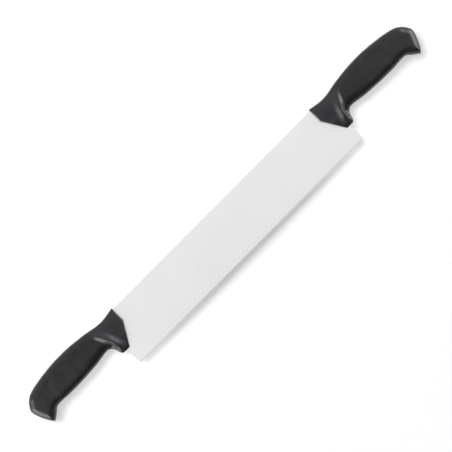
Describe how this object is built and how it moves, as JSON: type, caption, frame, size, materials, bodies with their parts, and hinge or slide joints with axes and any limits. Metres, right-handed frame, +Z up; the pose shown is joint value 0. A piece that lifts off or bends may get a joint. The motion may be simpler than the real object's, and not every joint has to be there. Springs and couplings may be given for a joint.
{
  "type": "double-handled cheese knife",
  "caption": "Long straight cheese blade with a guarded, hooked black plastic grip at each end, pressed down through large cheeses.",
  "frame": {"origin": "on the table under the middle of the knife's box, with the knife lying on its side on the flats of its grips", "axes": "+X along the blade towards the right handle, +Y towards the blade's back, +Z up through the thickness"},
  "size_m": [0.614, 0.0709, 0.024],
  "materials": {
    "blade_steel": "satin",
    "handle_plastic": "matte"
  },
  "bodies": {
    "root": {"blade": "blade_steel", "left_handle": "handle_plastic", "right_handle": "handle_plastic"}
  },
  "joints": []
}
